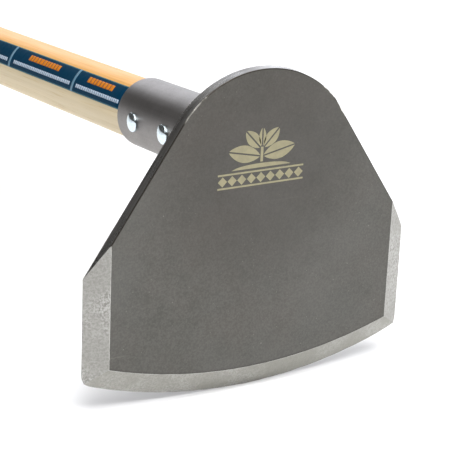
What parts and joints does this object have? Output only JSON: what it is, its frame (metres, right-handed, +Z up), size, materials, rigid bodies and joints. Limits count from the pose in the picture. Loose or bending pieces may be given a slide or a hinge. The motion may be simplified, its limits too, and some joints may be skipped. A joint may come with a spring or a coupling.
{
  "type": "grub hoe",
  "caption": "Grub hoe with a thick rounded steel blade, ground cutting edge, welded socket tube and a long straight riveted ash handle.",
  "frame": {"origin": "on the floor that the hoe stands on, under the middle of its bounding box", "axes": "+Z up, +Y along the handle away from the blade, +X across the blade"},
  "size_m": [0.186, 1.3754, 0.168],
  "materials": {
    "blade_steel": "dark satin plate with brightly ground bevels",
    "socket_steel": "satin",
    "weld_steel": "rough as welded",
    "ash_wood": "clear varnish",
    "rivet_steel": "bright zinc plate",
    "label_vinyl": "printed vinyl sticker"
  },
  "bodies": {
    "root": {"blade": "blade_steel", "socket_tube": "socket_steel", "socket_weld": "weld_steel", "handle": "ash_wood", "rivet_front": "rivet_steel", "rivet_rear": "rivet_steel", "handle_label": "label_vinyl"}
  },
  "joints": []
}
